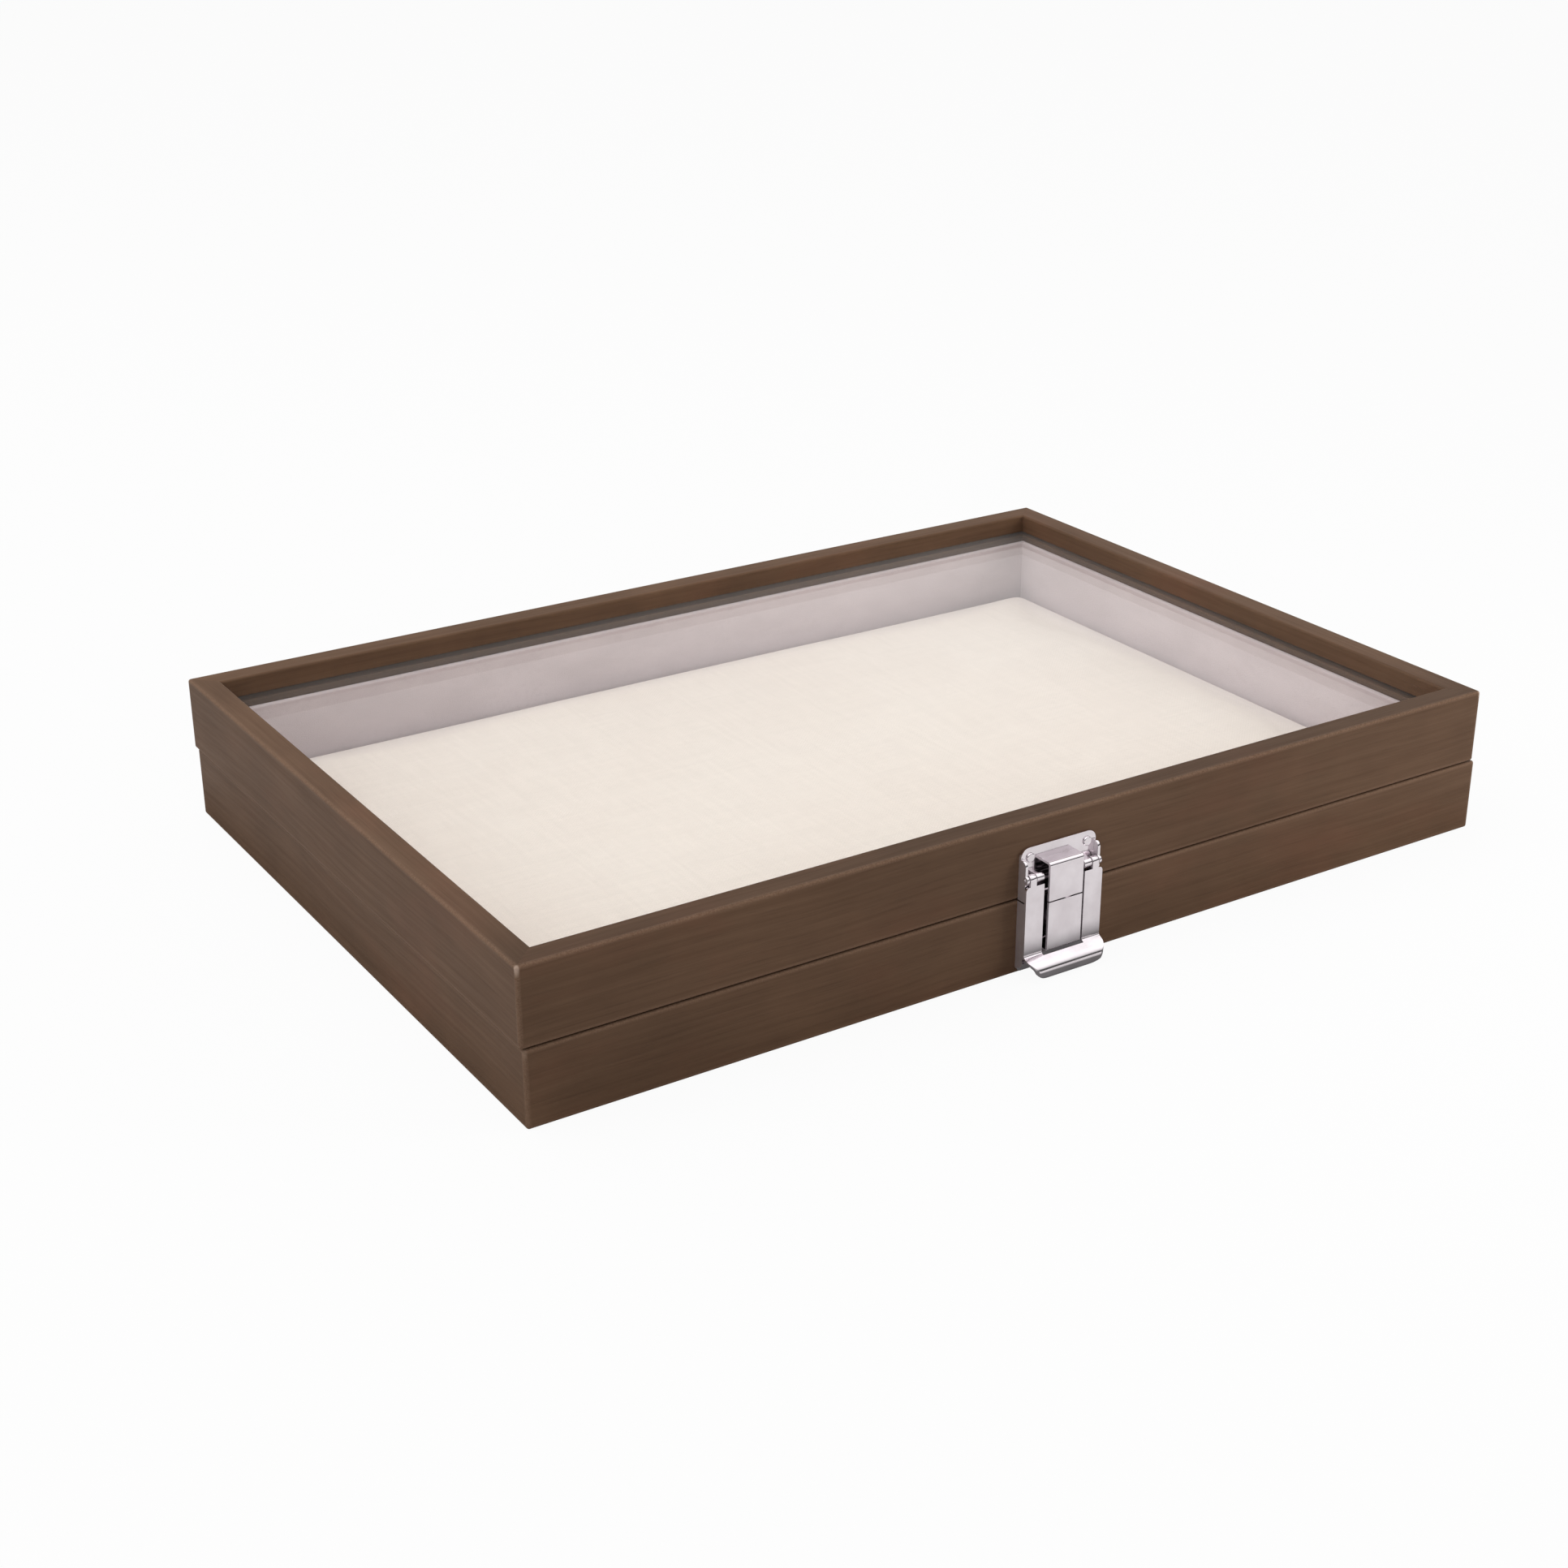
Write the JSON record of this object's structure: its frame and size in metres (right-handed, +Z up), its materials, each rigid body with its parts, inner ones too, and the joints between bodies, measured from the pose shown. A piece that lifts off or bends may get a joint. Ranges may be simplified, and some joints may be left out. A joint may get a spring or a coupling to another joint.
{
  "type": "bead storage organizer",
  "caption": "Shallow rectangular display case with a hinged glass lid, a snap latch, a raised velvet lining and a cream pad, for keeping beads.",
  "frame": {"origin": "centre of the base's underside", "axes": "+X along the case's long side, the latch faces -Y and the hinges +Y, +Z up through the glass lid"},
  "size_m": [0.351, 0.2535, 0.0489],
  "materials": {
    "brown_wrap": "wooden boards wrapped in satin brown wood-grain leatherette",
    "board": "plain thin board",
    "grey_velvet": "light grey velvet on stiff board",
    "cream_fabric": "fine cream velveteen over foam",
    "clear_glass": "clear float glass",
    "hinge_steel": "plated steel",
    "bright_nickel": "bright nickel plating"
  },
  "bodies": {
    "base": {"base_wall_front": "brown_wrap", "base_wall_rear": "brown_wrap", "base_wall_left": "brown_wrap", "base_wall_right": "brown_wrap", "base_floor": "board", "liner_front": "grey_velvet", "liner_rear": "grey_velvet", "liner_left": "grey_velvet", "liner_right": "grey_velvet", "pad_board": "board", "pad_cushion": "cream_fabric", "hinge_base_leaf_left": "hinge_steel", "hinge_base_leaf_right": "hinge_steel", "hinge_pin_left": "hinge_steel", "hinge_pin_right": "hinge_steel", "hinge_screws_base": "hinge_steel", "latch_base_plate": "bright_nickel", "latch_nails_base": "bright_nickel"},
    "lid": {"lid_rail_front": "brown_wrap", "lid_rail_rear": "brown_wrap", "lid_rail_left": "brown_wrap", "lid_rail_right": "brown_wrap", "lid_glass": "clear_glass", "hinge_lid_leaf_left": "hinge_steel", "hinge_lid_leaf_right": "hinge_steel", "hinge_screws_lid": "hinge_steel", "latch_lid_plate": "bright_nickel", "latch_pin": "bright_nickel", "latch_nails_lid": "bright_nickel"},
    "latch": {"latch_lever": "bright_nickel"}
  },
  "joints": [
    {"name": "lid_hinge", "type": "hinge", "parent": "base", "child": "lid", "pos_m": [0, 0.1223, 0.0242], "axis": [-1, 0, 0], "range_deg": [0, 105]},
    {"name": "latch_pivot", "type": "hinge", "parent": "lid", "child": "latch", "pos_m": [-0.0008, -0.1229, 0.0315], "axis": [-1, 0, 0], "range_deg": [0, 110]}
  ]
}
